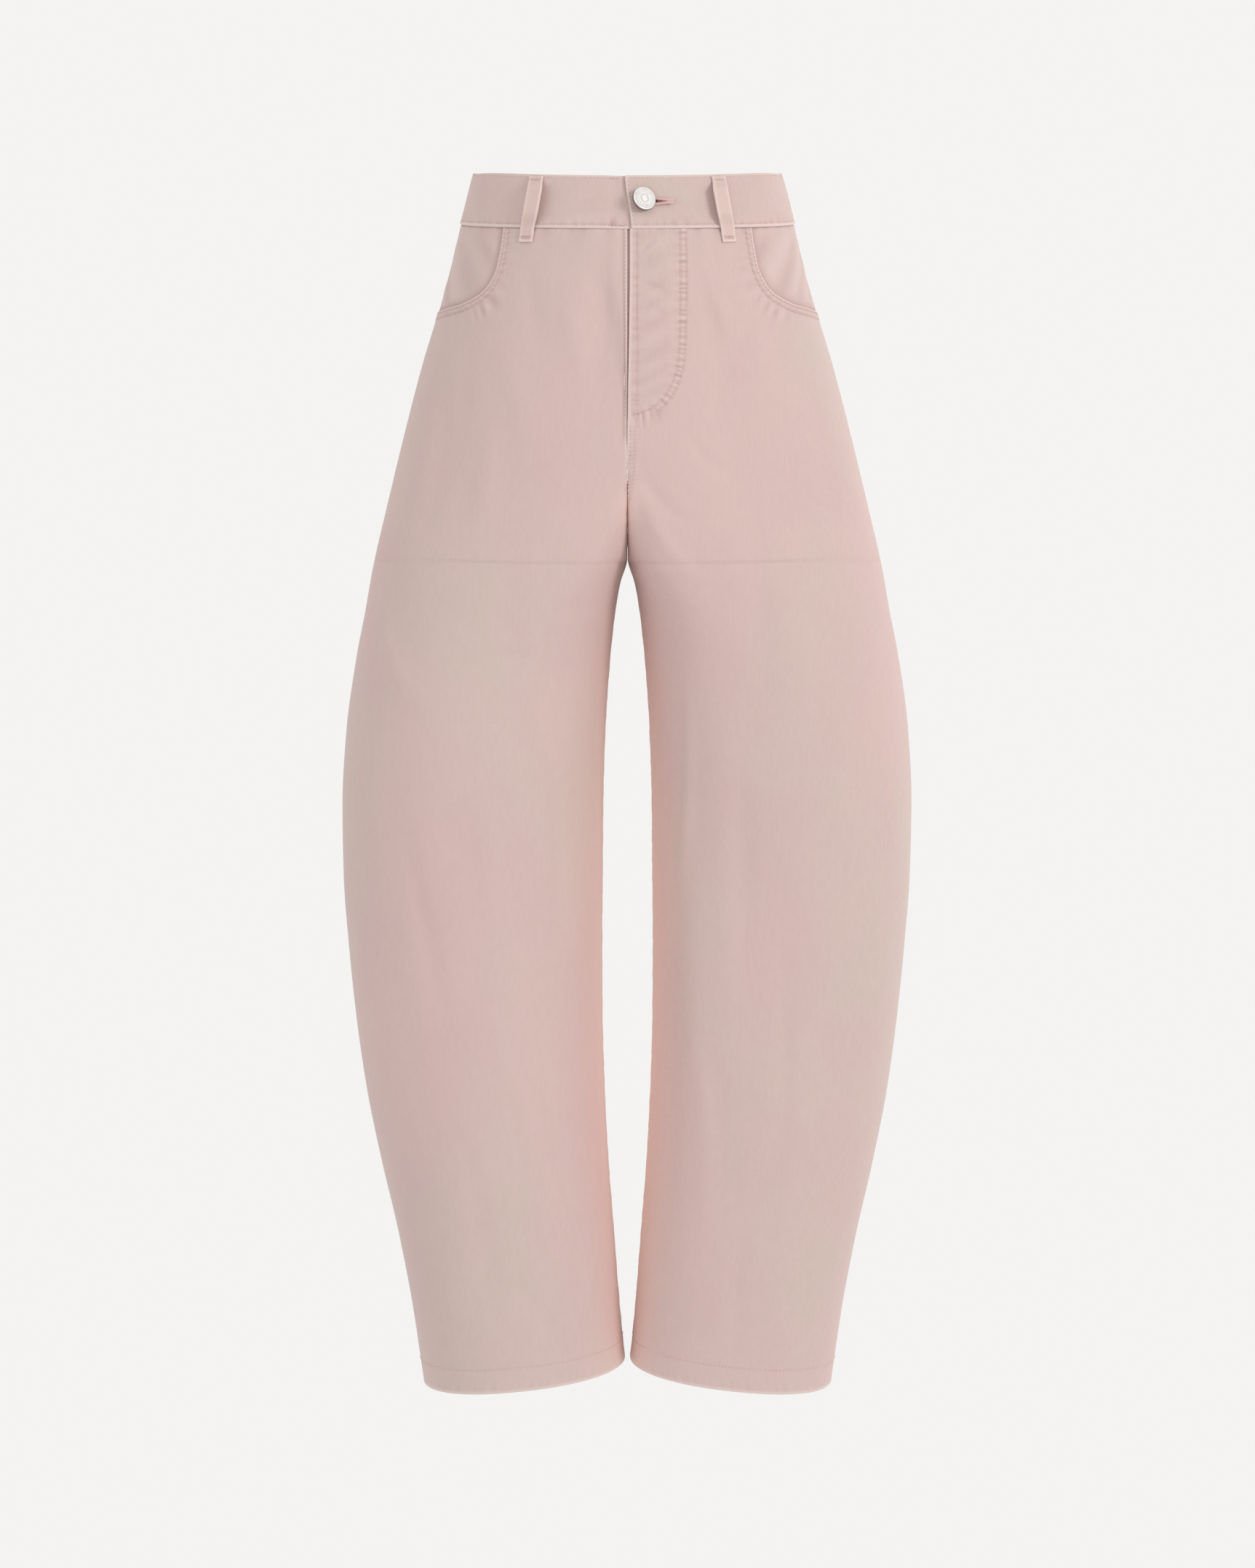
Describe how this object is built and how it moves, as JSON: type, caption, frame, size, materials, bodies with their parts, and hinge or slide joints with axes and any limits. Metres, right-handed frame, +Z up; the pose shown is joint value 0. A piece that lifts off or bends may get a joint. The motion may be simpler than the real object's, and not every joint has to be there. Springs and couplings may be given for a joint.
{
  "type": "barrel leg trousers",
  "caption": "High-waisted barrel leg trousers in pale pink cotton, in their worn hollow shape, with scooped front pockets, a fly front, belt loops and a metal button.",
  "frame": {"origin": "centre of the waist at the middle of the waistband's height, on the garment's middle plane", "axes": "+Z up, -Y the front of the garment, +X the wearer's left"},
  "size_m": [0.4852, 0.233, 1.0392],
  "materials": {
    "cotton": "matte pale pink cotton drill",
    "button_metal": "satin nickel"
  },
  "bodies": {
    "root": {"front_left": "cotton", "front_right": "cotton", "back_left": "cotton", "back_right": "cotton", "pocket_facing_left": "cotton", "pocket_facing_right": "cotton", "fly_shield": "cotton", "waistband_left": "cotton", "waistband_right": "cotton", "belt_loop_front_left": "cotton", "belt_loop_front_right": "cotton", "belt_loop_back_left": "cotton", "belt_loop_back_right": "cotton", "belt_loop_back_centre": "cotton", "button": "button_metal"}
  },
  "joints": []
}
